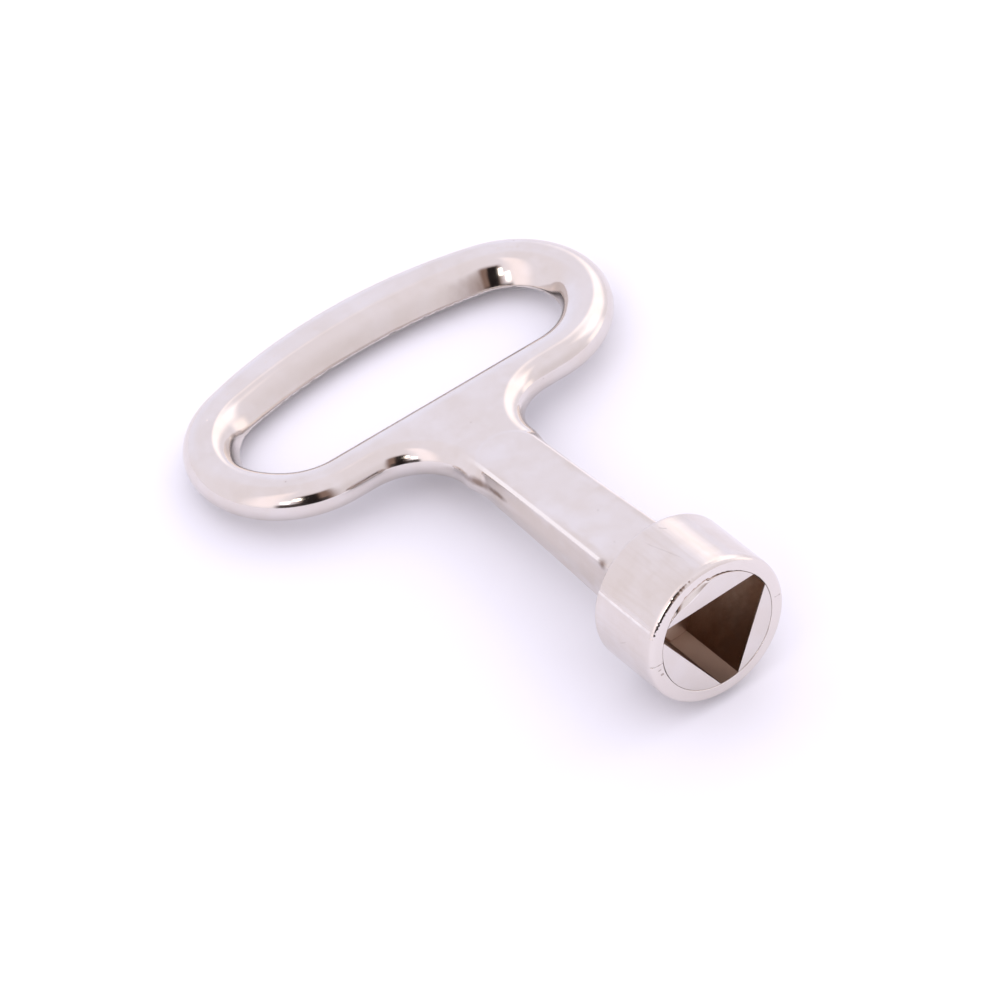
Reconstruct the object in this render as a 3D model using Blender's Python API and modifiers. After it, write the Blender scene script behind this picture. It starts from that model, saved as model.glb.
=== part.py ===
"""Radiator bleed key with an oval finger loop: one nickel-plated zinc die casting.

The casting is built as the four regions that its own lines divide it into: the bow (finger loop
and web), the shank, the ring of the socket head, and the round core that carries the triangular
socket. Metres. The key's axis is Y, the socket mouth faces -Y, the bow lies flat in the XY plane
and the die's parting plane is Z = 0. The origin is the centre of the whole key's bounding box.
"""

import math

import bmesh
import bpy
from mathutils import Vector

# ---------------------------------------------------------------- driving dimensions (metres)

KEY_LENGTH = 0.0717
HEAD_RADIUS = 0.0085
HEAD_LENGTH = 0.0097
CORE_RADIUS = 0.00685            # the witness circle between the ring and the core
SOCKET_DEPTH = 0.0090
SOCKET_INRADIUS = 0.00435        # from the key's axis to each flat of the triangle
FIT_GAP = 0.0003                 # clear gap between neighbouring regions

SHANK_HALF_WIDTH = 0.00415
SHANK_HALF_THICKNESS_HEAD = 0.00345
SHANK_HALF_THICKNESS_BOW = 0.0023
SHANK_LENGTH = 0.0265
SHANK_EDGE_ROUND = 0.00035

BOW_HALF_THICKNESS = 0.0021
BOW_EDGE_ROUND = 0.0019         # the bow's sides are almost fully round
BOW_FAR_RADIUS = 0.0546          # the long outer arc away from the head
BOW_LOBE_RADIUS = 0.01212        # the two ends of the loop
BOW_LOBE_X = 0.01372
NECK_HALF_WIDTH = 0.0049
NECK_FILLET_RADIUS = 0.00636
NECK_Y = 0.0388                  # distance of the neck's fillet centres from the mouth
OPENING_NEAR_Y = 0.0507          # straight side of the finger opening, from the mouth
OPENING_FAR_Y = 0.0649
OPENING_FAR_RADIUS = 0.0620
OPENING_END_RADIUS = 0.00625

RIM_ROUND = 0.0006               # outer edge at the mouth
BACK_RIM_ROUND = 0.0003
MOUTH_Y = -KEY_LENGTH / 2

ARC_STEP = math.radians(5)
LONG_ARC_POINTS = 28
HEAD_STEPS = 96
ROUND_STEPS = 4


# ---------------------------------------------------------------- small helpers

def along(distance):
    """World Y of a point that lies this far behind the socket mouth."""
    return MOUTH_Y + distance


def collection(name):
    """A new collection in the scene."""
    group = bpy.data.collections.new(name)
    bpy.context.scene.collection.children.link(group)
    return group


def material(name, colour, roughness):
    """A plain metal Principled material."""
    made = bpy.data.materials.new(name)
    made.use_nodes = True
    shader = made.node_tree.nodes["Principled BSDF"]
    shader.inputs["Base Color"].default_value = (*colour, 1.0)
    shader.inputs["Metallic"].default_value = 1.0
    shader.inputs["Roughness"].default_value = roughness
    made.diffuse_color = (*colour, 1.0)
    return made


def mesh_object(name, group, body, made=None):
    """An object from a finished bmesh, with its faces pointing out."""
    bmesh.ops.recalc_face_normals(body, faces=body.faces[:])
    mesh = bpy.data.meshes.new(name)
    body.to_mesh(mesh)
    body.free()
    thing = bpy.data.objects.new(name, mesh)
    group.objects.link(thing)
    if made:
        mesh.materials.append(made)
    return thing


def shade_smooth(thing, angle=30.0):
    """Smooth shading that keeps the edges sharper than the angle."""
    thing.data.shade_smooth()
    thing.data.set_sharp_from_angle(angle=math.radians(angle))


def arc(centre, radius, start, end, points=None):
    """Points along an arc, both ends included; angles in radians."""
    count = points or max(2, math.ceil(abs(end - start) / ARC_STEP) + 1)
    turns = [start + (end - start) * i / (count - 1) for i in range(count)]
    return [(centre[0] + radius * math.cos(a), centre[1] + radius * math.sin(a)) for a in turns]


def mirrored(points):
    """A half outline on the +X side, closed with its mirror image across X = 0."""
    other = [(-x, y) for x, y in reversed(points) if abs(x) > 1e-7]
    return points + other


# ---------------------------------------------------------------- the bow

def bow_outline():
    """Outer outline of the bow: far arc, end lobes, and the fillets that run into the neck."""
    far_centre_y = along(KEY_LENGTH) - BOW_FAR_RADIUS
    reach = BOW_FAR_RADIUS - BOW_LOBE_RADIUS
    lobe = Vector((BOW_LOBE_X, far_centre_y + math.sqrt(reach ** 2 - BOW_LOBE_X ** 2)))
    join = math.atan2(lobe.y - far_centre_y, lobe.x)
    fillet = Vector((NECK_HALF_WIDTH + NECK_FILLET_RADIUS, along(NECK_Y)))

    # the straight line that touches the lobe on one side and the fillet on the other
    between = fillet - lobe
    bearing = math.atan2(between.y, between.x)
    cross = (BOW_LOBE_RADIUS + NECK_FILLET_RADIUS) / between.length
    touch = bearing + math.acos(cross)

    outline = arc((0, far_centre_y), BOW_FAR_RADIUS, math.pi / 2, join, LONG_ARC_POINTS)
    outline += arc(lobe, BOW_LOBE_RADIUS, join, touch)[1:]
    outline += arc(fillet, NECK_FILLET_RADIUS, touch + math.pi, math.pi)
    outline.append((NECK_HALF_WIDTH, along(HEAD_LENGTH + SHANK_LENGTH) - 3 * BOW_HALF_THICKNESS))
    return mirrored(outline)


def opening_outline():
    """Outline of the finger opening: a long far arc, round ends and a straight near side."""
    far_centre_y = along(OPENING_FAR_Y) - OPENING_FAR_RADIUS
    end_y = along(OPENING_NEAR_Y) + OPENING_END_RADIUS
    reach = OPENING_FAR_RADIUS - OPENING_END_RADIUS
    end_x = math.sqrt(reach ** 2 - (end_y - far_centre_y) ** 2)
    join = math.atan2(end_y - far_centre_y, end_x)
    outline = arc((0, far_centre_y), OPENING_FAR_RADIUS, math.pi / 2, join, LONG_ARC_POINTS)
    outline += arc((end_x, end_y), OPENING_END_RADIUS, join, -math.pi / 2)[1:]
    return mirrored(outline)


def filled_curve(name, outlines, half_thickness, edge_round):
    """A flat plate with rounded edges between closed outlines, as a 2D curve object."""
    curve = bpy.data.curves.new(name, "CURVE")
    curve.dimensions = "2D"
    curve.fill_mode = "BOTH"
    curve.extrude = half_thickness - edge_round
    curve.bevel_depth = edge_round
    curve.bevel_resolution = ROUND_STEPS
    curve.offset = -edge_round
    for outline in outlines:
        spline = curve.splines.new("POLY")
        spline.points.add(len(outline) - 1)
        for point, (x, y) in zip(spline.points, outline):
            point.co = (x, y, 0, 1)
        spline.use_cyclic_u = True
    return bpy.data.objects.new(name, curve)


def curve_to_body(thing):
    """The finished shape of a curve object as one welded bmesh; the curve is removed."""
    bpy.context.scene.collection.objects.link(thing)
    bpy.context.view_layer.update()
    graph = bpy.context.evaluated_depsgraph_get()
    mesh = bpy.data.meshes.new_from_object(thing.evaluated_get(graph))
    body = bmesh.new()
    body.from_mesh(mesh)
    bmesh.ops.remove_doubles(body, verts=body.verts[:], dist=1e-6)
    curve = thing.data
    bpy.data.objects.remove(thing)
    bpy.data.curves.remove(curve)
    bpy.data.meshes.remove(mesh)
    return body


def cut_flat(body, y):
    """Cut a closed body square across the key's axis, and keep the side away from the mouth."""
    geometry = body.verts[:] + body.edges[:] + body.faces[:]
    cut = bmesh.ops.bisect_plane(body, geom=geometry, dist=1e-7, plane_co=(0, y, 0),
                                 plane_no=(0, -1, 0), clear_outer=True)
    rim = [item for item in cut["geom_cut"] if isinstance(item, bmesh.types.BMEdge)]
    bmesh.ops.edgenet_fill(body, edges=rim)


def bow(group, made):
    """Finger loop and web: a plate with large rounded edges and one oval opening."""
    plate = filled_curve("bow_plate", [bow_outline(), opening_outline()],
                         BOW_HALF_THICKNESS, BOW_EDGE_ROUND)
    body = curve_to_body(plate)
    cut_flat(body, along(HEAD_LENGTH + SHANK_LENGTH) + FIT_GAP / 2)
    shade_smooth(mesh_object("bow", group, body, made))


# ---------------------------------------------------------------- the shank

def shank(group, made):
    """Four-sided shank, thicker at the head than where it runs into the web."""
    start = along(HEAD_LENGTH) + FIT_GAP / 2
    end = along(HEAD_LENGTH + SHANK_LENGTH) - FIT_GAP / 2
    body = bmesh.new()
    bmesh.ops.create_cube(body, size=2.0)
    for corner in body.verts:
        at_head = corner.co.y < 0
        half = SHANK_HALF_THICKNESS_HEAD if at_head else SHANK_HALF_THICKNESS_BOW
        corner.co.x *= SHANK_HALF_WIDTH
        corner.co.y = start if at_head else end
        corner.co.z *= half
    thing = mesh_object("shank", group, body, made)
    edges = thing.modifiers.new("cast edges", "BEVEL")
    edges.width = SHANK_EDGE_ROUND
    edges.segments = 3
    edges.limit_method = "ANGLE"
    shade_smooth(thing)


# ---------------------------------------------------------------- the socket head

def ring_profile():
    """Closed (radius, height) profile of the head's ring, height measured from the mouth."""
    inner = CORE_RADIUS + FIT_GAP / 2
    back = HEAD_LENGTH - FIT_GAP / 2
    mouth = arc((HEAD_RADIUS - RIM_ROUND, RIM_ROUND), RIM_ROUND, 0, -math.pi / 2, 6)
    rear = arc((HEAD_RADIUS - BACK_RIM_ROUND, back - BACK_RIM_ROUND), BACK_RIM_ROUND,
               math.pi / 2, 0, 4)
    return rear + mouth + [(inner, 0.0), (inner, back)]


def ring(group, made):
    """The turned outside of the socket head, open at both ends."""
    body = bmesh.new()
    corners = [body.verts.new((radius, 0, height)) for radius, height in ring_profile()]
    for first, second in zip(corners, corners[1:] + corners[:1]):
        body.edges.new((first, second))
    mesh = bpy.data.meshes.new("socket_collar")
    body.to_mesh(mesh)
    body.free()
    mesh.materials.append(made)
    thing = bpy.data.objects.new("socket_collar", mesh)
    group.objects.link(thing)
    turn = thing.modifiers.new("turn", "SCREW")
    turn.axis = "Z"
    turn.angle = 2 * math.pi
    turn.screw_offset = 0
    turn.steps = HEAD_STEPS
    turn.render_steps = HEAD_STEPS
    turn.use_merge_vertices = True
    turn.merge_threshold = 1e-6
    turn.use_normal_calculate = True
    turn.use_smooth_shade = True
    thing.rotation_euler = (-math.pi / 2, 0, 0)
    thing.location = (0, MOUTH_Y, 0)


def cylinder(body, radius, length, steps):
    """A closed cylinder on the Z axis of a bmesh, from 0 to its length."""
    made = bmesh.ops.create_cone(body, cap_ends=True, segments=steps, radius1=radius,
                                 radius2=radius, depth=length)
    bmesh.ops.translate(body, vec=(0, 0, length / 2), verts=made["verts"])


def core(group, tools, made):
    """Round core with a blind three-sided socket; its corners run out to the core's own circle."""
    stand = (-math.pi / 2, 0, 0)
    body = bmesh.new()
    cylinder(body, CORE_RADIUS - FIT_GAP / 2, HEAD_LENGTH - FIT_GAP / 2, HEAD_STEPS)
    thing = mesh_object("socket_core", group, body, made)
    thing.rotation_euler = stand
    thing.location = (0, MOUTH_Y, 0)

    clear = HEAD_RADIUS / 2
    prism = bmesh.new()
    cylinder(prism, 2 * SOCKET_INRADIUS, SOCKET_DEPTH + clear, 3)
    cutter = mesh_object("socket_cutter", tools, prism)
    cutter.rotation_euler = stand
    cutter.location = (0, MOUTH_Y - clear, 0)
    cutter.hide_render = True
    cutter.display_type = "WIRE"

    socket = thing.modifiers.new("socket", "BOOLEAN")
    socket.operation = "DIFFERENCE"
    socket.solver = "EXACT"
    socket.object = cutter
    shade_smooth(thing)


# ---------------------------------------------------------------- build

def clear_scene():
    """Remove whatever the scene starts with."""
    for thing in list(bpy.data.objects):
        bpy.data.objects.remove(thing)


def main():
    clear_scene()
    group = collection("bleed_key")
    tools = collection("cutters")
    plating = material("nickel_plate", (0.80, 0.76, 0.74), 0.16)
    collar_plating = material("nickel_head", (0.78, 0.74, 0.72), 0.20)
    socket_plating = material("nickel_socket", (0.60, 0.55, 0.50), 0.30)
    shank_plating = material("nickel_shank", (0.80, 0.77, 0.77), 0.18)
    bow(group, plating)
    shank(group, shank_plating)
    ring(group, collar_plating)
    core(group, tools, socket_plating)


main()
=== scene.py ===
"""Looks of the radiator bleed key: a nickel-plated die casting on a pale studio floor.

Lengths in the shape sections are millimetres in the mouth frame: Y = 0 is the socket mouth and +Y
runs along the key to the far side of its finger loop, X across the loop, Z up. place() turns them
into the frame's metres.
"""

import math

import bmesh
import bpy
import numpy as np
from mathutils import Matrix, Vector

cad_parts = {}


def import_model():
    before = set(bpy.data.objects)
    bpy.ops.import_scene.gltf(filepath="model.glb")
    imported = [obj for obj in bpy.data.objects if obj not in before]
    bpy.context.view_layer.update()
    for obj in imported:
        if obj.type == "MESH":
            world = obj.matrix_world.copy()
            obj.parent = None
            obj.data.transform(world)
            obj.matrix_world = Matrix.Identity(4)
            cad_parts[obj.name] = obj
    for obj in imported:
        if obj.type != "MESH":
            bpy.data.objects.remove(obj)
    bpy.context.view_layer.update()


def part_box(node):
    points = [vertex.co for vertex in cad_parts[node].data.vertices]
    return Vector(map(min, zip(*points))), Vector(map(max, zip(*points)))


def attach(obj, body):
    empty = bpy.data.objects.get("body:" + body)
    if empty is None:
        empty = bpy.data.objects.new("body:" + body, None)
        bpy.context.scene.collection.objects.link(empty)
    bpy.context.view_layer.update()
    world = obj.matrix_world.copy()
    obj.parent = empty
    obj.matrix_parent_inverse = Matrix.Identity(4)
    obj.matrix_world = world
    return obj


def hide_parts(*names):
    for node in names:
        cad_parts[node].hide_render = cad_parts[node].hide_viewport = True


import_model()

MM = 0.001
MOUTH_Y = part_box("socket_collar")[0][1]

# ---------------------------------------------------------------- sizes, from the frame (mm)

ring_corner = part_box("socket_collar")[1]
bow_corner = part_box("bow")[1]
HEAD_RADIUS = ring_corner[0] / MM
KEY_LENGTH = (bow_corner[1] - MOUTH_Y) / MM
BOW_HALF_WIDTH = bow_corner[0] / MM
BOW_HALF_THICKNESS = bow_corner[2] / MM

HEAD_LENGTH = 9.7
HEAD_FILLET = 0.5                    # fillet where the shank leaves the head
RIM_ROUND = 0.78                     # rounding of the head's rim at the mouth
BACK_RIM_ROUND = 0.3
DISC_THICKNESS = 0.45                # the head's back wall, which belongs to the handle's skin
DISC_RADIUS = HEAD_RADIUS - BACK_RIM_ROUND - 0.01

SHANK_HALF_WIDTH = 4.15
SHANK_HALF_THICKNESS = 3.47          # at the head; it thins along the shank
SHANK_TAPER = 0.0463                 # thickness lost per millimetre on each side
SHANK_ROUND_END = 36.2               # where the shank's rounded end starts
SHANK_EDGE = 0.42                    # rounding of its four long edges
SHANK_DRAFT = 0.30                   # its sides lean in, by this per millimetre of height at the bow
SHANK_MIDDLE = 0.5                   # the lean starts softly within this of the middle plane
NOTCH_Y = 14.2                       # a dark nick on its edge, just clear of the head

BOW_EDGE = 2.07                      # the bow's outer edge is fully round
OPENING_EDGE = 2.75                  # the finger opening's edge slopes in over this width
LIP_BLUNTNESS = 0.5                  # its far edge comes to a blunt lip; 0 would be fully round
LIP_Z = -0.79                        # that lip lies below the bow's middle
LIP_ROUND = 0.16
LIP_START, LIP_GROWTH = 1.0, 6.0     # from the opening's near edge to where the lip starts, and grows over
FAR_RADIUS = 54.6
LOBE_RADIUS = 12.12
LOBE_X = BOW_HALF_WIDTH - LOBE_RADIUS
NECK_HALF_WIDTH = 4.9
NECK_FILLET = 6.36
NECK_Y = 38.8
NECK_TURN_IN = 8.0                   # past the neck the web curves in under the shank
NECK_CUT_Y = 33.0
OPENING_NEAR_Y = 50.7
OPENING_FAR_Y = 64.9
OPENING_FAR_RADIUS = 62.0
OPENING_END_RADIUS = 6.25

# Angles round the head are in degrees from +X towards +Z, as seen from the mouth.
CORE_RADIUS = 6.85
GROOVE_WIDTH = 0.02                  # gap between the ring and the socket segments
GROOVE_EDGE = 0.08
PARTING_ANGLE = 179                  # the die's parting line crosses the ring here and at its other end
OTHER_PARTING_ANGLE = -0.8
RIDGE_HIGHLIGHT_ANGLE = 150.5                 # a lengthwise ridge on the head, with a highlight painted along it
WORN_ANGLE, WORN_SPREAD = 128, 62    # the knocked stretch of the rim
SOCKET_DEPTH = 9.0
SIDE_DISTANCES = (4.08, 4.17, 4.57)  # socket axis to its top, lower left and right side
SIDE_TILTS = (1.8, 1.2, 0.6)         # how far each side is turned from a true triangle's (degrees)
SEGMENT_EDGE = 0.07                  # rounding of a segment's edges
SEGMENT_ROUND_EDGE = 1.4             # how much wider that is on a segment's round side
FACE_RECESS = (0.03, 0.0, 0.02)      # how far each segment's face lies behind the mouth
BEVEL_WIDTH = 0.95                   # worn bevel on the top segment's round side, at its widest
BEVEL_DEPTH = 0.40
BEVEL_ANGLE, BEVEL_SPREAD = 110, 31

HANDLE_CELL = 0.2                    # grid step of the handle's mesh


def place(points):
    """Mouth-frame millimetres to the frame's metres."""
    return np.asarray(points) * MM + np.array([0.0, MOUTH_Y, 0.0])


# ---------------------------------------------------------------- distance fields (mm)

def arc_distance(x, y, centre, radius, start, end):
    """Signed distance to an arc: negative towards its centre."""
    dx, dy = x - centre[0], y - centre[1]
    reach = np.hypot(dx, dy)
    middle, half = (start + end) / 2, abs(end - start) / 2
    turn = np.arctan2(dy, dx) - middle
    turn = np.abs((turn + math.pi) % (2 * math.pi) - math.pi)
    ends = [(centre[0] + radius * math.cos(a), centre[1] + radius * math.sin(a)) for a in (start, end)]
    to_end = np.minimum(np.hypot(x - ends[0][0], y - ends[0][1]), np.hypot(x - ends[1][0], y - ends[1][1]))
    away = np.where(turn <= half, np.abs(reach - radius), to_end)
    return np.where(reach < radius, -away, away)


def line_distance(x, y, first, second):
    """Signed distance to a segment: negative on the right of its direction."""
    ax, ay = second[0] - first[0], second[1] - first[1]
    share = np.clip(((x - first[0]) * ax + (y - first[1]) * ay) / (ax * ax + ay * ay), 0, 1)
    away = np.hypot(x - first[0] - share * ax, y - first[1] - share * ay)
    side = (x - first[0]) * ay - (y - first[1]) * ax
    return np.where(side > 0, -away, away)


def nearest(distances):
    """The distance of smallest size, with its own sign."""
    best = distances[0]
    for other in distances[1:]:
        best = np.where(np.abs(other) < np.abs(best), other, best)
    return best


def outer_distance(x, y):
    """Distance to the bow's outer outline, negative inside the material."""
    x = np.abs(x)
    far_y = KEY_LENGTH - FAR_RADIUS
    lobe = (LOBE_X, far_y + math.sqrt((FAR_RADIUS - LOBE_RADIUS) ** 2 - LOBE_X ** 2))
    join = math.atan2(lobe[1] - far_y, lobe[0])
    fillet = (NECK_HALF_WIDTH + NECK_FILLET, NECK_Y)
    gap = math.hypot(fillet[0] - lobe[0], fillet[1] - lobe[1])
    bearing = math.atan2(fillet[1] - lobe[1], fillet[0] - lobe[0])
    touch = bearing + math.acos((LOBE_RADIUS + NECK_FILLET) / gap)
    leave = (lobe[0] + LOBE_RADIUS * math.cos(touch), lobe[1] + LOBE_RADIUS * math.sin(touch))
    meet = (fillet[0] - NECK_FILLET * math.cos(touch), fillet[1] - NECK_FILLET * math.sin(touch))
    return nearest([
        arc_distance(x, y, (0, far_y), FAR_RADIUS, join, math.pi / 2),
        arc_distance(x, y, lobe, LOBE_RADIUS, touch, join),
        line_distance(x, y, leave, meet),
        -arc_distance(x, y, fillet, NECK_FILLET, touch + math.pi, math.pi),
        arc_distance(x, y, (NECK_HALF_WIDTH - NECK_TURN_IN, NECK_Y), NECK_TURN_IN, -0.9, 0),
    ])


def opening_distance(x, y):
    """Distance to the finger opening's outline, negative inside the opening."""
    x = np.abs(x)
    far_y = OPENING_FAR_Y - OPENING_FAR_RADIUS
    end_y = OPENING_NEAR_Y + OPENING_END_RADIUS
    end_x = math.sqrt((OPENING_FAR_RADIUS - OPENING_END_RADIUS) ** 2 - (end_y - far_y) ** 2)
    join = math.atan2(end_y - far_y, end_x)
    return nearest([
        arc_distance(x, y, (0, far_y), OPENING_FAR_RADIUS, join, math.pi / 2),
        arc_distance(x, y, (end_x, end_y), OPENING_END_RADIUS, -math.pi / 2, join),
        line_distance(x, y, (end_x, OPENING_NEAR_Y), (-1.0, OPENING_NEAR_Y)),
    ])


def rounded(across, through, radius):
    """Distance to a body that is the meeting of two, with its edge rounded."""
    a, b = across + radius, through + radius
    return np.minimum(np.maximum(a, b), 0) + np.hypot(np.maximum(a, 0), np.maximum(b, 0)) - radius


def join_smooth(a, b, blend):
    """Union of two distance fields with a small fillet where they meet."""
    share = np.maximum(blend - np.abs(a - b), 0) / blend
    return np.minimum(a, b) - share * share * blend / 4


def bow_distance(x, y, z):
    """Finger loop and web: a flat plate with a round outer edge and a sloping edge round the opening."""
    outward = np.maximum(outer_distance(x, y), NECK_CUT_Y - y) / BOW_EDGE
    inward = -opening_distance(x, y) / OPENING_EDGE
    across = np.maximum(outward, inward) + 1
    far = np.clip((y - OPENING_NEAR_Y - LIP_START) / LIP_GROWTH, 0, 1)
    far = far * far * (3 - 2 * far)
    lip = LIP_Z * far
    to_lip = np.hypot(z - lip, LIP_ROUND * far) / (BOW_HALF_THICKNESS - np.where(z > lip, lip, -lip))
    to_lip = to_lip ** (1 - LIP_BLUNTNESS * far)
    through = np.where(inward > outward, to_lip, (np.abs(z) - BOW_HALF_THICKNESS) / BOW_EDGE + 1)
    inside = np.minimum(np.maximum(across, through), 0)
    return (inside + np.hypot(np.maximum(across, 0), np.maximum(through, 0)) - 1) * BOW_EDGE


def shank_distance(x, y, z):
    """The four-sided shank: it thins towards the bow, where its end is round and its sides lean in."""
    sunk = 0.4                       # it starts this far inside the head
    beyond = np.maximum(y - SHANK_ROUND_END, 0)
    draft = SHANK_DRAFT * np.clip((y - HEAD_LENGTH) / (SHANK_ROUND_END - HEAD_LENGTH), 0, 1)
    sides = np.hypot(x, beyond) - SHANK_HALF_WIDTH + draft * (np.hypot(z, SHANK_MIDDLE) - SHANK_MIDDLE)
    sides = np.maximum(sides, HEAD_LENGTH - sunk - y)
    half = SHANK_HALF_THICKNESS - (y - HEAD_LENGTH) * SHANK_TAPER
    return rounded(sides, (np.abs(z) - half) / math.hypot(1, SHANK_TAPER), SHANK_EDGE)


def handle_distance(x, y, z):
    """Bow, web, shank and the head's back disc, as one casting."""
    seat = HEAD_LENGTH - DISC_THICKNESS / 2
    disc = rounded(np.hypot(x, z) - DISC_RADIUS, np.abs(y - seat) - DISC_THICKNESS / 2, 0.03)
    valley = np.clip((BOW_HALF_THICKNESS + 0.1 - np.abs(z)) / 0.5, 0, 1)
    body = join_smooth(bow_distance(x, y, z), shank_distance(x, y, z), 0.10 + 0.30 * valley)
    return join_smooth(body, disc, HEAD_FILLET)


def surface(field, low, high, cell):
    """Quads, points and normals of a field's zero surface, by surface nets on a regular grid."""
    axes = [np.arange(low[k], high[k] + cell, cell) for k in range(3)]
    value = field(axes[0][:, None, None], axes[1][None, :, None], axes[2][None, None, :])
    inside = value < 0
    count = np.array(value.shape) - 1

    def corner(array, shift):
        return array[tuple(slice(s, s + n) for s, n in zip(shift, count))]

    corners = [(i, j, k) for i in (0, 1) for j in (0, 1) for k in (0, 1)]
    filled = sum(corner(inside, c).astype(np.int8) for c in corners)
    active = np.argwhere((filled > 0) & (filled < 8))
    number = np.full(count, -1, dtype=np.int64)
    number[tuple(active.T)] = np.arange(len(active))

    total = np.zeros((len(active), 3))
    hits = np.zeros(len(active))
    for first in corners:
        for axis in range(3):
            if first[axis]:
                continue
            second = tuple(1 if k == axis else first[k] for k in range(3))
            a = value[tuple((active + first).T)]
            b = value[tuple((active + second).T)]
            cross = (a < 0) != (b < 0)
            share = np.where(cross, a / np.where(cross, a - b, 1), 0)
            spot = active + np.array(first, dtype=float)
            spot[:, axis] += share
            total += spot * cross[:, None]
            hits += cross
    points = np.array(low) + total / hits[:, None] * cell

    quads = []
    for axis in range(3):
        others = [k for k in range(3) if k != axis]
        ahead = np.roll(inside, -1, axis=axis)
        change = inside != ahead
        change[tuple(slice(None) if k != axis else -1 for k in range(3))] = False
        for k in others:
            change[tuple(slice(None) if n != k else 0 for n in range(3))] = False
            change[tuple(slice(None) if n != k else -1 for n in range(3))] = False
        edges = np.argwhere(change)
        steps = []
        for p, q in ((1, 1), (0, 1), (0, 0), (1, 0)):
            back = np.zeros(3, dtype=np.int64)
            back[others[0]], back[others[1]] = p, q
            steps.append(number[tuple((edges - back).T)])
        face = np.stack(steps, axis=1)
        leaving = inside[tuple(edges.T)]
        flip = leaving if axis == 1 else ~leaving
        face[flip] = face[flip][:, ::-1]
        quads.append(face)
    faces = np.concatenate(quads)

    for _ in range(3):
        slope = gradient(field, points)
        away = field(points[:, 0], points[:, 1], points[:, 2])
        points = points - slope * away[:, None]
    return points, faces, gradient(field, points)


def gradient(field, points, step=0.01):
    """Unit gradient of a field at points."""
    slope = np.empty_like(points)
    for axis in range(3):
        shift = np.zeros(3)
        shift[axis] = step
        ahead, behind = points + shift, points - shift
        slope[:, axis] = field(*ahead.T) - field(*behind.T)
    return slope / np.linalg.norm(slope, axis=1)[:, None]


def mesh_piece(name, points, faces, material, normals=None):
    """An object from points in mouth-frame millimetres, smooth shaded, riding on the key."""
    mesh = bpy.data.meshes.new(name)
    mesh.from_pydata(place(points).tolist(), [], [list(map(int, face)) for face in faces])
    mesh.update()
    mesh.shade_smooth()
    if normals is not None:
        mesh.normals_split_custom_set_from_vertices(normals.tolist())
    thing = bpy.data.objects.new(name, mesh)
    bpy.context.scene.collection.objects.link(thing)
    mesh.materials.append(material)
    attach(thing, "root")
    return thing


def handle(material):
    """Bow, web and shank as the one seamless casting that they are."""
    margin = 0.6
    low = (-BOW_HALF_WIDTH - margin, HEAD_LENGTH - 1.3, -HEAD_RADIUS - margin)
    high = (BOW_HALF_WIDTH + margin, KEY_LENGTH + margin, HEAD_RADIUS + margin)
    points, faces, normals = surface(handle_distance, low, high, HANDLE_CELL)
    piece = mesh_piece("bow_and_shank", points, faces, material, normals)
    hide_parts("bow", "shank")
    return piece


# ---------------------------------------------------------------- head: turned ring and socket segments

def ripple(angle, waves, seed):
    """Repeatable unevenness round a circle: a sum of waves, about -1 to 1."""
    draw = np.random.default_rng(seed)
    total = 0
    for wave in waves:
        total = total + draw.uniform(0.5, 1.0) * np.sin(wave * angle + draw.uniform(0, 2 * math.pi))
    return total / math.sqrt(len(waves))


def window(value, centre, half):
    """Smooth hump of height 1 at centre that falls to 0 at half either side."""
    share = np.clip(1 - np.abs(value - centre) / half, 0, 1)
    return share * share * (3 - 2 * share)


def near_angle(angle, centre, half):
    """Smooth hump round a circle, centre and half width in degrees."""
    away = (angle - math.radians(centre) + math.pi) % (2 * math.pi) - math.pi
    return window(away, 0, math.radians(half))


def quarter(centre, radius, start, steps):
    """Points of a quarter circle in (radius, y), from start onwards against the clock."""
    turn = [start + math.pi / 2 * k / steps for k in range(steps + 1)]
    return [(centre[0] + radius * math.cos(a), centre[1] + radius * math.sin(a)) for a in turn]


def ring_profile():
    """Closed (radius, y) outline of the head ring, from the groove round the mouth to the back."""
    groove = CORE_RADIUS + GROOVE_WIDTH
    back_y = HEAD_LENGTH - DISC_THICKNESS
    outline = [(groove, y) for y in np.linspace(back_y, 0.45, 11)] + [(groove, 0.30), (groove, 0.16)]
    outline += quarter((groove + GROOVE_EDGE, GROOVE_EDGE), GROOVE_EDGE, math.pi, 5)
    outline += [(r, 0) for r in np.linspace(groove + GROOVE_EDGE, HEAD_RADIUS - RIM_ROUND, 8)[1:-1]]
    outline += quarter((HEAD_RADIUS - RIM_ROUND, RIM_ROUND), RIM_ROUND, -math.pi / 2, 12)
    outline += [(HEAD_RADIUS, y) for y in np.linspace(RIM_ROUND, HEAD_LENGTH - BACK_RIM_ROUND, 26)[1:-1]]
    outline += quarter((HEAD_RADIUS - BACK_RIM_ROUND, HEAD_LENGTH - BACK_RIM_ROUND), BACK_RIM_ROUND, 0, 6)
    outline += [(HEAD_RADIUS - BACK_RIM_ROUND, back_y)]
    return np.array(outline)


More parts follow.
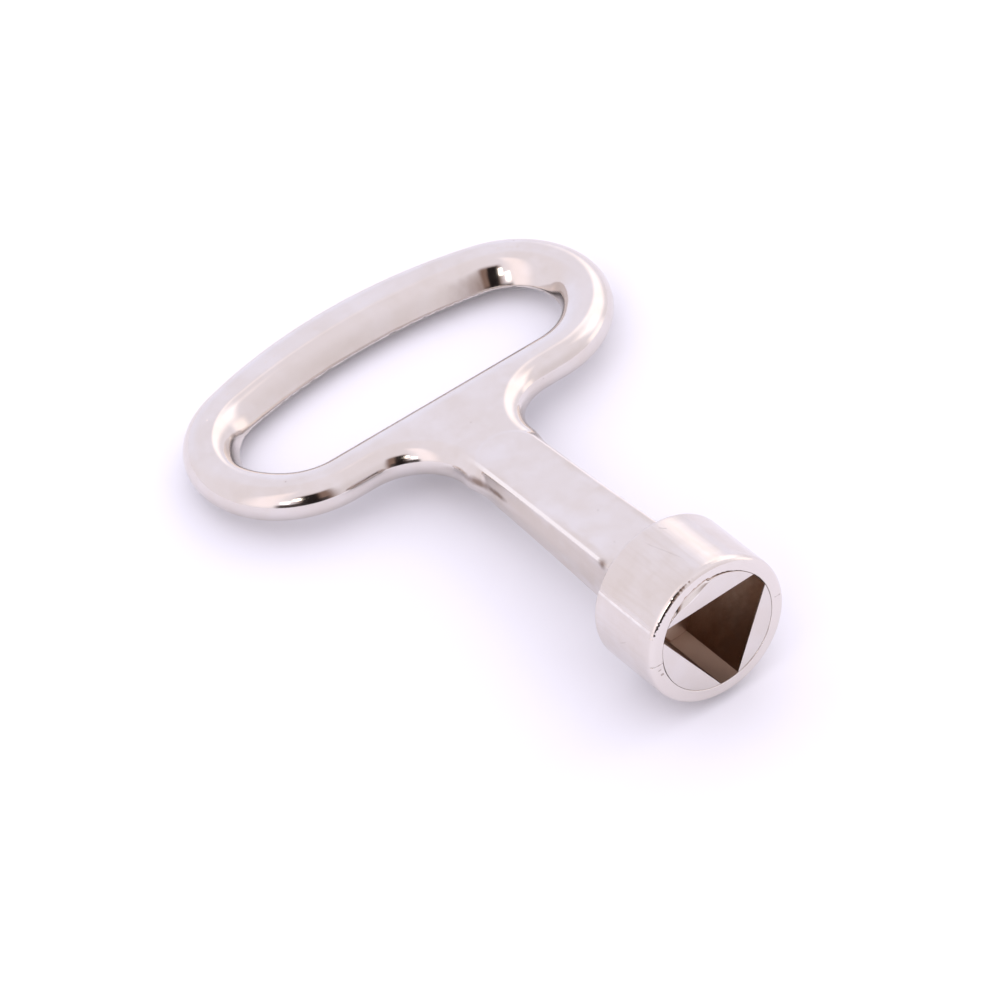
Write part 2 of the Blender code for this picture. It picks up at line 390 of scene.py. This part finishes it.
def head_ring(material):
    """The head's outer wall: a revolved ring with a dented rim and the casting's parting line."""
    profile = ring_profile()
    turns = 720
    angle = np.arange(turns) * 2 * math.pi / turns
    radius, depth = profile[:, 0][:, None], profile[:, 1][:, None]
    rim = window(radius, HEAD_RADIUS, 1.3) * window(depth, 0, 1.5)
    lip = window(radius, CORE_RADIUS, 0.6) * window(depth, 0, 0.42)
    side = window(radius, HEAD_RADIUS, 0.4)
    worn = near_angle(angle, WORN_ANGLE, WORN_SPREAD)
    dents = ripple(angle, (31, 47, 67, 89, 127), 3) * (0.002 + 0.0075 * worn)
    sag = ripple(angle, (2, 3, 5, 9), 8) * 0.012
    crack = near_angle(angle, PARTING_ANGLE, 1.3)
    seam = near_angle(angle, PARTING_ANGLE, 2.6) + 0.5 * near_angle(angle, OTHER_PARTING_ANGLE, 2.0)
    ridge = near_angle(angle, RIDGE_HIGHLIGHT_ANGLE, 1.6) * window(depth, 4.9, 5.2) * (0.8 + 0.2 * np.sin(3 * depth))
    ridge_height = 0.012
    open_groove = near_angle(angle, 98, 58) + 0.2 * near_angle(angle, 188, 14)
    opened = open_groove * (0.30 + 0.09 * ripple(angle, (17, 31, 47, 73), 5))
    radius = radius - rim * (dents + 0.015 * worn + 0.03 * crack) + sag * rim
    radius = radius - side * ridge_height * (seam * window(depth, 0, 6) + 1 - ridge)
    radius = radius + lip * (opened + 0.02 * seam)
    depth = depth + rim * (0.6 * dents + 0.03 * crack) + 0.03 * lip * seam
    flaw = near_angle(angle, 185, 5) * window(radius, 7.4, 0.5) * window(depth, 0, 0.5)
    depth = np.maximum(depth + 0.05 * flaw, 0)
    radius = np.minimum(radius, HEAD_RADIUS)
    points = np.stack(np.broadcast_arrays(radius * np.cos(angle), depth, radius * np.sin(angle)), axis=-1)
    rows = len(profile)
    faces = [(r * turns + k, r * turns + (k + 1) % turns,
              (r + 1) % rows * turns + (k + 1) % turns, (r + 1) % rows * turns + k)
             for r in range(rows) for k in range(turns)]
    piece = mesh_piece("head_ring", points.reshape(-1, 3), faces, material)
    piece.data.set_sharp_from_angle(angle=math.radians(40))
    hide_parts("socket_collar")
    return piece


def segment_outline(side, inset, bevel, steps):
    """Outline of one socket segment (the part of a disc beyond a chord), drawn in by inset and bevel."""
    radius, chord = CORE_RADIUS - SEGMENT_ROUND_EDGE * inset, SIDE_DISTANCES[side] + inset
    half = math.acos(chord / radius)
    turns = np.linspace(-half, half, steps)
    worn_turn = math.radians(90 - BEVEL_ANGLE + SIDE_TILTS[0])
    reach = radius - bevel * window(turns, worn_turn, math.radians(BEVEL_SPREAD))
    arc = [(r * math.sin(a), r * math.cos(a)) for r, a in zip(reach, turns)]
    flat = [(x, chord) for x in np.linspace(arc[-1][0], arc[0][0], steps)[1:-1]]
    return arc + flat


def head_core(material):
    """Three segments round the triangular socket, and its floor."""
    steps = 48
    levels = [(SEGMENT_EDGE * (1 - math.sin(a)), SEGMENT_EDGE * (1 - math.cos(a)))
              for a in np.linspace(0, math.pi / 2, 4)]
    levels += [(0.0, y) for y in (0.17, 0.28, BEVEL_DEPTH)]
    levels += [(0.0, y) for y in np.linspace(0.6, SOCKET_DEPTH, 10)]
    points, faces = [], []
    for k in range(3):
        turn = math.radians(SIDE_TILTS[k]) + k * 2 * math.pi / 3
        start = len(points)
        for inset, y in levels:
            bevel = BEVEL_WIDTH * max(1 - y / BEVEL_DEPTH, 0) if k == 0 else 0
            for x, z in segment_outline(k, inset, bevel, steps):
                points.append((x * math.cos(turn) - z * math.sin(turn), y + FACE_RECESS[k],
                               x * math.sin(turn) + z * math.cos(turn)))
        count = 2 * steps - 2
        for level in range(len(levels) - 1):
            for n in range(count):
                a, b = start + level * count + n, start + level * count + (n + 1) % count
                faces.append((a, b, b + count, a + count))
        for level, order in ((0, 1), (len(levels) - 1, -1)):
            base = start + level * count
            arc = [base + n for n in range(steps)]
            flat = [base] + [base + count - n for n in range(1, steps - 1)] + [base + steps - 1]
            for n in range(steps - 1):
                cap = (arc[n], arc[n + 1], flat[n + 1], flat[n])
                faces.append(tuple(dict.fromkeys(cap[::-order])))
    floor_turns = 96
    start = len(points)
    floor_levels = (SOCKET_DEPTH, HEAD_LENGTH - DISC_THICKNESS)
    points += [(0, y, 0) for y in floor_levels]
    for y in floor_levels:
        for n in range(floor_turns):
            a = n * 2 * math.pi / floor_turns
            points.append((CORE_RADIUS * math.cos(a), y, CORE_RADIUS * math.sin(a)))
    for n in range(floor_turns):
        a, b = start + 2 + n, start + 2 + (n + 1) % floor_turns
        faces += [(start, a, b), (a, a + floor_turns, b + floor_turns, b),
                  (start + 1, b + floor_turns, a + floor_turns)]
    piece = mesh_piece("head_core", points, faces, material)
    body = bmesh.new()
    body.from_mesh(piece.data)
    bmesh.ops.recalc_face_normals(body, faces=body.faces)
    body.to_mesh(piece.data)
    body.free()
    piece.data.set_sharp_from_angle(angle=math.radians(50))
    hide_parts("socket_core")
    return piece


# ---------------------------------------------------------------- materials

class Nodes:
    """Short ways to build one material's node tree. Positions are millimetres in the frame."""

    def __init__(self, name):
        self.material = bpy.data.materials.new(name)
        self.material.use_nodes = True
        self.tree = self.material.node_tree
        self.shader = self.tree.nodes["Principled BSDF"]
        where = self.tree.nodes.new("ShaderNodeTexCoord")
        self.place = self.vector("MULTIPLY", where.outputs["Object"], (1 / MM, 1 / MM, 1 / MM))
        axes = self.tree.nodes.new("ShaderNodeSeparateXYZ")
        self.tree.links.new(self.place, axes.inputs[0])
        self.x, self.y, self.z = axes.outputs

    def depth(self):
        """Distance behind the mouth."""
        return self.math("SUBTRACT", self.y, MOUTH_Y / MM)

    def turn(self):
        """Angle round the key's axis, in radians from +X towards +Z."""
        return self.math("ARCTAN2", self.z, self.x)

    def reach(self):
        """Distance from the key's axis."""
        squares = [self.math("POWER", side, 2.0) for side in (self.x, self.z)]
        return self.math("SQRT", self.math("ADD", *squares))

    def product(self, first, *others):
        """All the values multiplied together."""
        for other in others:
            first = self.math("MULTIPLY", first, other)
        return first

    def gap(self, value, target):
        """How far a value is from its target, either way."""
        return self.math("ABSOLUTE", self.math("SUBTRACT", value, target))

    def wire(self, value, socket):
        if isinstance(value, bpy.types.NodeSocket):
            self.tree.links.new(value, socket)
        else:
            socket.default_value = value

    def math(self, kind, *values):
        node = self.tree.nodes.new("ShaderNodeMath")
        node.operation = kind
        for socket, value in zip(node.inputs, values):
            self.wire(value, socket)
        return node.outputs[0]

    def vector(self, kind, *values):
        node = self.tree.nodes.new("ShaderNodeVectorMath")
        node.operation = kind
        for socket, value in zip(node.inputs, values):
            self.wire(value, socket)
        return node.outputs[0]

    def combine(self, x, y, z):
        node = self.tree.nodes.new("ShaderNodeCombineXYZ")
        for socket, value in zip(node.inputs, (x, y, z)):
            self.wire(value, socket)
        return node.outputs[0]

    def noise(self, scale, detail=2.0, stretch=(1, 1, 1), shift=0.0, where=None):
        """Noise from 0 to 1 with scale features per millimetre along each axis."""
        node = self.tree.nodes.new("ShaderNodeTexNoise")
        spot = self.vector("MULTIPLY_ADD", where or self.place, tuple(stretch), (shift, shift, shift))
        self.wire(spot, node.inputs["Vector"])
        node.inputs["Scale"].default_value = scale
        node.inputs["Detail"].default_value = detail
        return node.outputs[0]

    def ramp(self, value, low, high, first=0.0, last=1.0):
        node = self.tree.nodes.new("ShaderNodeMapRange")
        node.interpolation_type = "SMOOTHSTEP"
        for name, setting in (("Value", value), ("From Min", low), ("From Max", high),
                              ("To Min", first), ("To Max", last)):
            self.wire(setting, node.inputs[name])
        return node.outputs["Result"]

    def mix(self, share, first, second):
        node = self.tree.nodes.new("ShaderNodeMix")
        node.data_type = "RGBA"
        self.wire(share, node.inputs["Factor"])
        ends = [socket for socket in node.inputs if socket.type == "RGBA"]
        for socket, colour in zip(ends, (first, second)):
            self.wire(colour if isinstance(colour, bpy.types.NodeSocket) else (*colour, 1), socket)
        return [socket for socket in node.outputs if socket.type == "RGBA"][0]

    def bump(self, height, size, before=None):
        """Relief of that size in millimetres."""
        node = self.tree.nodes.new("ShaderNodeBump")
        node.inputs["Distance"].default_value = size * MM
        self.wire(height, node.inputs["Height"])
        if before:
            self.wire(before, node.inputs["Normal"])
        return node.outputs[0]

    def pits(self, per_mm, size, shift=0.0):
        """1 in small sparse pits, 0 elsewhere."""
        node = self.tree.nodes.new("ShaderNodeTexVoronoi")
        self.wire(self.vector("ADD", self.place, (shift, shift, shift)), node.inputs["Vector"])
        node.inputs["Scale"].default_value = per_mm
        return self.ramp(node.outputs["Distance"], size * 0.4, size, 1, 0)

    def finish(self, colour, roughness, normal):
        self.wire(colour, self.shader.inputs["Base Color"])
        self.wire(roughness, self.shader.inputs["Roughness"])
        self.wire(normal, self.shader.inputs["Normal"])
        self.shader.inputs["Metallic"].default_value = 1
        return self.material


NICKEL = (0.69, 0.64, 0.60)
NICKEL_WARM = (0.63, 0.565, 0.50)        # thin or stained plating
NICKEL_PALE = (0.715, 0.675, 0.65)
PIT = (0.30, 0.24, 0.20)
BROWN = (0.67, 0.575, 0.505)             # the unpolished inside of the socket
BROWN_DARK = (0.55, 0.435, 0.35)
# painted light on the socket walls
BROWN_PAINTED_LIGHT = (0.93, 0.87, 0.81)
# painted shade on the socket walls
BROWN_PAINTED_SHADE = (0.36, 0.22, 0.14)
# painted deep shade on the socket's low side
BROWN_PAINTED_DEEP_SHADE = (0.24, 0.15, 0.10)
STAIN = (0.20, 0.135, 0.10)
FACE_PAINTED_PALER = (0.755, 0.705, 0.665)      # nickel painted paler on the ring round the mouth, a painted brightening of its reflection
PAINTED_HIGHLIGHT = (0.90, 0.87, 0.83)         # pale colour painted on as highlights: along the shank's edges, the head's lengthwise ridge and the top segment's bevel

# Stains on the shank: centre, and half size along each axis.
SHANK_STAINS = (
    ((-4.3, 36.3, 0.65), (1.0, 2.6, 0.62)),
    ((-4.2, 33.2, 0.75), (0.8, 2.0, 0.42)),
    ((-4.15, NOTCH_Y - 0.35, 2.95), (0.9, 0.85, 0.75)),
)
# Radial marks on the mouth's face: angle, first and last radius, half width.
FACE_MARKS = (
    (178.6, 6.8, 8.45, 0.07),
    (-0.8, 7.3, 7.95, 0.08),
    (-176, 7.3, 7.6, 0.12),
    (-171, 7.2, 7.5, 0.12),
)
# Scratches on the head's side: two ends, each an angle and a distance from the mouth.
SCRATCHES = (
    ((103, 7.9), (94.5, 3.1)),
    ((88, 8.6), (84, 7.9)),
    ((176, 5.2), (171, 4.1)),
)


def plating(nodes, roughness, stain):
    """Colour, roughness and relief shared by all the plated faces."""
    cloud = nodes.noise(0.22, 3, shift=4.0)
    patch = nodes.noise(0.42, 3, shift=11.0)
    grain = nodes.noise(5.0, 3)
    warm = nodes.product(nodes.ramp(patch, 0.38, 0.80), stain)
    colour = nodes.mix(nodes.ramp(cloud, 0.35, 0.70), NICKEL, NICKEL_PALE)
    colour = nodes.mix(warm, colour, NICKEL_WARM)
    pitted = nodes.ramp(nodes.noise(0.4, 1, shift=21.0), 0.5, 0.6)
    pits = nodes.product(nodes.pits(0.55, 0.055), pitted)
    colour = nodes.mix(nodes.product(pits, 0.8), colour, PIT)
    shine = nodes.math("MULTIPLY_ADD", nodes.ramp(cloud, 0.3, 0.7), 0.03, roughness - 0.02)
    shine = nodes.math("MULTIPLY_ADD", nodes.ramp(patch, 0.45, 0.75), 0.05, shine)
    shine = nodes.math("MULTIPLY_ADD", grain, 0.02, shine)
    relief = nodes.bump(nodes.noise(0.45, 1, shift=31.0), 0.020)
    relief = nodes.bump(grain, 0.0012, relief)
    relief = nodes.bump(pits, -0.03, relief)
    return colour, shine, relief


def scratch(nodes, first, last):
    """A thin scratch on the head's side between two (angle in degrees, distance from mouth) points."""
    first_turn, span = math.radians(first[0]), math.radians(last[0] - first[0])
    share = nodes.math("DIVIDE", nodes.math("SUBTRACT", nodes.turn(), first_turn), span)
    line = nodes.math("MULTIPLY_ADD", share, last[1] - first[1], first[1] + MOUTH_Y / MM)
    beside = nodes.ramp(nodes.gap(nodes.y, line), 0.03, 0.11, 1, 0)
    return nodes.product(beside, nodes.ramp(nodes.gap(share, 0.5), 0.40, 0.52, 1, 0))


def face_mark(nodes, angle, first, last, width):
    """A thin wandering radial mark on the mouth's face, at an angle in degrees between two radii."""
    reach = nodes.reach()
    away = nodes.product(nodes.gap(nodes.turn(), math.radians(angle)), reach)
    wander = nodes.math("MULTIPLY_ADD", nodes.noise(1.6, 1, shift=41.0), 0.24, -0.12)
    away = nodes.math("ABSOLUTE", nodes.math("ADD", away, wander))
    half = (last - first) / 2
    along = nodes.ramp(nodes.gap(reach, (first + last) / 2), half, half + 0.06, 1, 0)
    return nodes.product(nodes.ramp(away, width * 0.4, width, 1, 0), along)


def blot(nodes, centre, size):
    """A soft ragged blot round a point of the mouth frame."""
    middle = (-centre[0], -centre[1] - MOUTH_Y / MM, -centre[2])
    ragged = nodes.math("MULTIPLY_ADD", nodes.noise(1.1, 2, shift=51.0), 0.6, -0.3)
    scaled = nodes.vector("DIVIDE", nodes.vector("ADD", nodes.place, middle), size)
    length = nodes.tree.nodes.new("ShaderNodeVectorMath")
    length.operation = "LENGTH"
    nodes.wire(scaled, length.inputs[0])
    return nodes.ramp(nodes.math("ADD", length.outputs["Value"], ragged), 0.15, 1.15, 1, 0)


def shank_edge_highlights(nodes):
    """1 along the shank's long edges above and below, from the dark nick to the bow: where a highlight is
    painted.
    """
    along = nodes.math("SUBTRACT", nodes.y, HEAD_LENGTH + MOUTH_Y / MM)
    half = nodes.math("MULTIPLY_ADD", along, -SHANK_TAPER, SHANK_HALF_THICKNESS)
    below_top = nodes.math("SUBTRACT", half, nodes.math("ABSOLUTE", nodes.z))
    lean = nodes.product(along, SHANK_DRAFT / (SHANK_ROUND_END - HEAD_LENGTH))
    lean = nodes.product(lean, nodes.math("SUBTRACT", half, SHANK_MIDDLE))
    half_width = nodes.math("SUBTRACT", SHANK_HALF_WIDTH, lean)
    from_side = nodes.math("SUBTRACT", half_width, nodes.math("ABSOLUTE", nodes.x))
    edge = nodes.ramp(nodes.math("MAXIMUM", below_top, from_side), 0.18, 0.42, 1, 0)
    clear = nodes.ramp(nodes.depth(), NOTCH_Y - 0.4, NOTCH_Y + 0.5)
    return nodes.product(edge, clear)


def handle_metal():
    """Tumbled nickel on the bow, web and shank: the bow is the smoothest, the shank shows stains, and a
    highlight is painted along the shank's edges.
    """
    nodes = Nodes("handle_plating")
    shank = nodes.ramp(nodes.depth(), 40.5, 34.0)
    beside = nodes.ramp(nodes.math("ABSOLUTE", nodes.x), SHANK_HALF_WIDTH - 2.0, SHANK_HALF_WIDTH - 0.7)
    stain = nodes.product(shank, nodes.math("MULTIPLY_ADD", beside, 0.62, 0.02))
    colour, shine, relief = plating(nodes, 0.085, nodes.math("ADD", stain, 0.32))
    smear = nodes.product(nodes.noise(0.5, 3, stretch=(1, 0.3, 1), shift=71.0), shank)
    smear = nodes.ramp(nodes.math("MULTIPLY_ADD", beside, 0.30, smear), 0.62, 0.95, 0, 0.75)
    colour = nodes.mix(smear, colour, NICKEL_WARM)
    # painted highlight: pale colour along the shank's long edges
    colour = nodes.mix(nodes.product(shank_edge_highlights(nodes), shank, 0.9), colour, PAINTED_HIGHLIGHT)
    shine = nodes.math("MULTIPLY_ADD", shank, 0.045, shine)
    for centre, size in SHANK_STAINS:
        mark = blot(nodes, centre, size)
        colour = nodes.mix(nodes.product(mark, 0.85), colour, STAIN)
        shine = nodes.math("MULTIPLY_ADD", mark, 0.12, shine)
    lines = nodes.ramp(nodes.noise(1.0, 2, stretch=(5.0, 0.5, 5.0), shift=3.0), 0.60, 0.72)
    shine = nodes.math("MULTIPLY_ADD", nodes.product(lines, shank), 0.05, shine)
    relief = nodes.bump(nodes.product(nodes.noise(0.9, 2, shift=8.0), shank), 0.016, relief)
    return nodes.finish(colour, shine, relief)


def head_metal():
    """The head: lengthwise streaks round its outside, a highlight painted along its lengthwise ridge, a
    mouth face painted paler to brighten its reflection, a brown groove.
    """
    nodes = Nodes("head_plating")
    colour, shine, relief = plating(nodes, 0.11, 0.45)
    turn, depth, reach = nodes.turn(), nodes.depth(), nodes.reach()
    wrapped = nodes.combine(nodes.product(turn, HEAD_RADIUS), nodes.y, 0.0)
    streak = nodes.noise(1.0, 3, stretch=(2.2, 0.16, 1.0), where=wrapped)
    fine = nodes.noise(1.0, 2, stretch=(9.0, 0.8, 1.0), where=wrapped)
    side = nodes.ramp(depth, 0.4, 1.0)
    tint = nodes.product(nodes.ramp(streak, 0.38, 0.75, 0, 0.30), side)
    colour = nodes.mix(tint, colour, NICKEL_WARM)
    shine = nodes.math("MULTIPLY_ADD", nodes.product(fine, side), 0.07, shine)
    relief = nodes.bump(nodes.product(streak, side), 0.006, relief)
    relief = nodes.bump(nodes.product(fine, side), 0.0015, relief)

    # painted highlight: a pale line along the lengthwise ridge
    off_line = nodes.product(nodes.gap(turn, math.radians(RIDGE_HIGHLIGHT_ANGLE)), HEAD_RADIUS)
    patchy = nodes.ramp(nodes.noise(0.9, 2, shift=61.0), 0.30, 0.55, 0.35, 1.0)
    line = nodes.product(nodes.ramp(off_line, 0.06, 0.26, 1, 0), side, patchy)
    colour = nodes.mix(nodes.product(line, 0.75), colour, PAINTED_HIGHLIGHT)
    relief = nodes.bump(line, 0.02, relief)
    for first, last in SCRATCHES:
        mark = scratch(nodes, first, last)
        colour = nodes.mix(nodes.product(mark, 0.35), colour, PIT)
        relief = nodes.bump(mark, -0.01, relief)

    # painted reflection: the mouth's face is mixed towards a paler nickel so it reads brighter
    face = nodes.ramp(depth, 0.2, 0.5, 1, 0)
    colour = nodes.mix(nodes.product(face, 0.8), colour, FACE_PAINTED_PALER)
    for angle, first, last, width in FACE_MARKS:
        mark = nodes.product(face_mark(nodes, angle, first, last, width), face)
        colour = nodes.mix(nodes.product(mark, 0.7), colour, PIT)
        relief = nodes.bump(mark, -0.02, relief)
    groove = nodes.product(nodes.ramp(reach, CORE_RADIUS + 0.42, CORE_RADIUS + 0.18),
                           nodes.ramp(depth, 0.03, 0.14))
    colour = nodes.mix(groove, colour, BROWN)
    shine = nodes.math("MULTIPLY_ADD", groove, 0.20, shine)
    return nodes.finish(colour, shine, relief)


def socket_brown_painted_light_and_shade(nodes, grime):
    """The walls' brown with painted light and shade: paler at the left corner and the bottom, darker at the
    lower right and towards the mouth.
    """
    depth = nodes.depth()
    rightward = nodes.math("MULTIPLY_ADD", nodes.x, 0.5, nodes.product(nodes.z, -0.87))
    to_low_side = nodes.math("MULTIPLY_ADD", nodes.x, -0.87, nodes.product(nodes.z, -0.5))
    low_side = nodes.ramp(to_low_side, SIDE_DISTANCES[1] - 0.4, SIDE_DISTANCES[1] - 0.2)
    wall = nodes.mix(nodes.ramp(grime, 0.35, 0.65), BROWN, BROWN_DARK)
    # painted light: paler towards the left corner and towards the bottom
    wall = nodes.mix(nodes.ramp(nodes.x, -6.0, -2.2, 0.9, 0), wall, BROWN_PAINTED_LIGHT)
    wall = nodes.mix(nodes.ramp(depth, 5.5, 8.8, 0, 0.7), wall, BROWN_PAINTED_LIGHT)
    # painted light and shade on the low side: pale at its left end, near black at its right
    low_wall = nodes.mix(nodes.ramp(rightward, -5.5, 0.8), BROWN_PAINTED_LIGHT, BROWN_PAINTED_DEEP_SHADE)
    wall = nodes.mix(low_side, wall, low_wall)
    # painted shade: darker at the lower right and towards the mouth
    wall = nodes.mix(nodes.ramp(rightward, 2.0, 7.0, 0, 0.75), wall, BROWN_PAINTED_SHADE)
    return nodes.mix(nodes.ramp(depth, 0.3, 4.2, 0.85, 0), wall, BROWN_PAINTED_SHADE)


def core_metal():
    """The socket segments: plated faces round the mouth, with a highlight painted on the top segment's
    bevel, and brown, rough walls inside, with painted light and shade.
    """
    nodes = Nodes("socket_plating")
    colour, shine, relief = plating(nodes, 0.12, 0.25)
    depth = nodes.depth()
    grime = nodes.noise(0.5, 4, shift=15.0)
    # painted highlight: the top segment's bevel is mixed towards pale, in place of the bright line at its
    # crease
    off_bevel = nodes.gap(nodes.turn(), math.radians(BEVEL_ANGLE))
    bevel = nodes.product(nodes.ramp(off_bevel, math.radians(26), math.radians(32), 1, 0),
                          nodes.ramp(nodes.reach(), 5.4, 5.7),
                          nodes.ramp(depth, 0.30, 0.42, 1, 0))
    sunk = nodes.ramp(depth, FACE_RECESS[0] + 0.004, FACE_RECESS[0] + 0.03)
    colour = nodes.mix(nodes.product(bevel, sunk, 0.5), colour, PAINTED_HIGHLIGHT)
    inside = nodes.product(nodes.ramp(depth, 0.06, 0.30), nodes.math("SUBTRACT", 1.0, bevel))
    # brown walls with painted light and shade
    colour = nodes.mix(inside, colour, socket_brown_painted_light_and_shade(nodes, grime))
    shine = nodes.math("MULTIPLY_ADD", inside, nodes.math("MULTIPLY_ADD", grime, 0.25, 0.08), shine)
    dull = nodes.product(nodes.ramp(nodes.x, -5.5, -1.5, 0.22, 0), inside)
    shine = nodes.math("ADD", shine, dull)
    cast = nodes.product(nodes.noise(1.1, 3, shift=19.0), inside)
    relief = nodes.bump(cast, 0.05, relief)
    return nodes.finish(colour, shine, relief)


handle(handle_metal())
head_ring(head_metal())
head_core(core_metal())

# ---------------------------------------------------------------- stage, light, camera

def floor():
    """Pale matt floor that the key rests on: it touches the head's back rim and the bow's far bar."""
    pale, half_size, roughness = (0.87, 0.885, 0.935, 1), 3.0, 0.9
    rise = math.atan2(HEAD_RADIUS - BOW_HALF_THICKNESS, KEY_LENGTH - BOW_EDGE - HEAD_LENGTH)
    mesh = bpy.data.meshes.new("floor")
    body = bmesh.new()
    bmesh.ops.create_grid(body, x_segments=1, y_segments=1, size=half_size)
    body.to_mesh(mesh)
    body.free()
    thing = bpy.data.objects.new("floor", mesh)
    bpy.context.scene.collection.objects.link(thing)
    thing.rotation_euler = (rise, 0, 0)
    thing.location = (0, MOUTH_Y + HEAD_LENGTH * MM, -HEAD_RADIUS * MM)
    made = bpy.data.materials.new("pale_floor")
    made.use_nodes = True
    shader = made.node_tree.nodes["Principled BSDF"]
    shader.inputs["Base Color"].default_value = pale
    shader.inputs["Roughness"].default_value = roughness
    mesh.materials.append(made)


def camera():
    """Camera at the photograph's angle. The mouth's centre lies right of the view's centre and below it."""
    azimuth, elevation, roll = (math.radians(a) for a in (-27.523, 40.078, -12.187))
    distance = 680.0
    right_of_centre, below_centre = 22.0403, 13.2733
    back = Vector((math.sin(azimuth) * math.cos(elevation), -math.cos(azimuth) * math.cos(elevation),
                   math.sin(elevation)))
    level = Vector((math.cos(azimuth), math.sin(azimuth), 0))
    up = back.cross(level)
    right = level * math.cos(roll) + up * math.sin(roll)
    top = up * math.cos(roll) - level * math.sin(roll)
    spot = back * distance - right * right_of_centre + top * below_centre
    spot = spot * MM + Vector((0, MOUTH_Y, 0))
    data = bpy.data.cameras.new("camera")
    data.sensor_width = 36
    data.lens = 241.955
    data.clip_end = 20
    thing = bpy.data.objects.new("camera", data)
    bpy.context.scene.collection.objects.link(thing)
    turn = Matrix((right, top, back)).transposed()
    thing.matrix_world = Matrix.Translation(spot) @ turn.to_4x4()
    bpy.context.scene.camera = thing


FLOOR_GAIN = 1.19                    # how much more light the floor gets than the surroundings give
DOME_LIGHT = (1.09, 1.03, 1.13)      # everywhere that no panel below covers
# What surrounds the studio table, by direction as seen from the key: name, azimuth from +Y towards +X
# and elevation of its middle, half width, half height, softness of its edge (all degrees), light.
# Each panel covers the ones before it.
SURROUNDINGS = (
    ("backdrop", 18, 12, 34, 26, 22, (1.13, 1.12, 1.32)),
    ("right_softbox", 76, 36, 38, 17, 10, (1.70, 1.57, 1.62)),
    ("right_low", 114, 0, 13, 16, 6, (1.58, 1.44, 1.46)),
    ("left_softbox", -110, 40, 16, 38, 12, (1.42, 1.29, 1.36)),
    ("front_wall", 172, 8, 34, 26, 22, (0.95, 0.88, 0.94)),
    ("dark_room", -160, 20, 19, 30, 7, (0.30, 0.20, 0.17)),
    ("dark_low", -148, 2, 25, 11, 4, (0.09, 0.07, 0.07)),
    ("photographer", -155, 16, 9, 32, 3, (0.02, 0.015, 0.015)),
    ("left_window", -131, 24, 3.9, 7, 1.3, (4.2, 4.1, 4.1)),
    ("right_window", -142, 34, 3.9, 7, 1.3, (4.4, 4.1, 3.8)),
)


def world():
    """Soft white surroundings with two soft boxes, and a dark camera side with two small windows."""
    made = bpy.data.worlds.new("studio")
    bpy.context.scene.world = made
    made.use_nodes = True
    tree = made.node_tree
    background = tree.nodes["Background"]

    def math_node(kind, *values):
        node = tree.nodes.new("ShaderNodeMath")
        node.operation = kind
        for place_in, value in zip(node.inputs, values):
            if isinstance(value, bpy.types.NodeSocket):
                tree.links.new(value, place_in)
            else:
                place_in.default_value = value
        return node.outputs[0]

    def fade(value, centre, half, soft):
        """1 within half of the centre, falling smoothly to 0 over the soft edge."""
        offset = math_node("SUBTRACT", value, centre)
        away = math_node("ABSOLUTE", math_node("WRAP", offset, math.pi, -math.pi))
        node = tree.nodes.new("ShaderNodeMapRange")
        node.interpolation_type = "SMOOTHSTEP"
        tree.links.new(away, node.inputs["Value"])
        node.inputs["From Min"].default_value = half - soft
        node.inputs["From Max"].default_value = half + soft
        node.inputs["To Min"].default_value = 1
        node.inputs["To Max"].default_value = 0
        return node.outputs["Result"]

    def mix(share, first, second):
        node = tree.nodes.new("ShaderNodeMix")
        node.data_type = "RGBA"
        tree.links.new(share, node.inputs["Factor"])
        for name, value in (("A", first), ("B", second)):
            socket = [s for s in node.inputs if s.name == name and s.type == "RGBA"][0]
            if isinstance(value, bpy.types.NodeSocket):
                tree.links.new(value, socket)
            else:
                socket.default_value = (*value, 1)
        return [s for s in node.outputs if s.type == "RGBA"][0]

    where = tree.nodes.new("ShaderNodeTexCoord")
    axes = tree.nodes.new("ShaderNodeSeparateXYZ")
    tree.links.new(where.outputs["Generated"], axes.inputs[0])
    azimuth = math_node("ARCTAN2", axes.outputs["X"], axes.outputs["Y"])
    elevation = math_node("ARCSINE", axes.outputs["Z"])
    light = None
    for _, centre, height, half_width, half_height, soft, colour in SURROUNDINGS:
        across = fade(azimuth, math.radians(centre), math.radians(half_width), math.radians(soft))
        upward = fade(elevation, math.radians(height), math.radians(half_height), math.radians(soft))
        share = math_node("MULTIPLY", across, upward)
        light = mix(share, light or DOME_LIGHT, colour)
    tree.links.new(light, background.inputs["Color"])

    # The paper is lit a little more than the dome alone would light it, and what shows past it is white.
    path = tree.nodes.new("ShaderNodeLightPath")
    gain = math_node("ADD", math_node("MULTIPLY", path.outputs["Is Diffuse Ray"], FLOOR_GAIN - 1), 1)
    tree.links.new(math_node("ADD", gain, path.outputs["Is Camera Ray"]), background.inputs["Strength"])


floor()
camera()
world()
bpy.context.scene.view_settings.view_transform = "Standard"
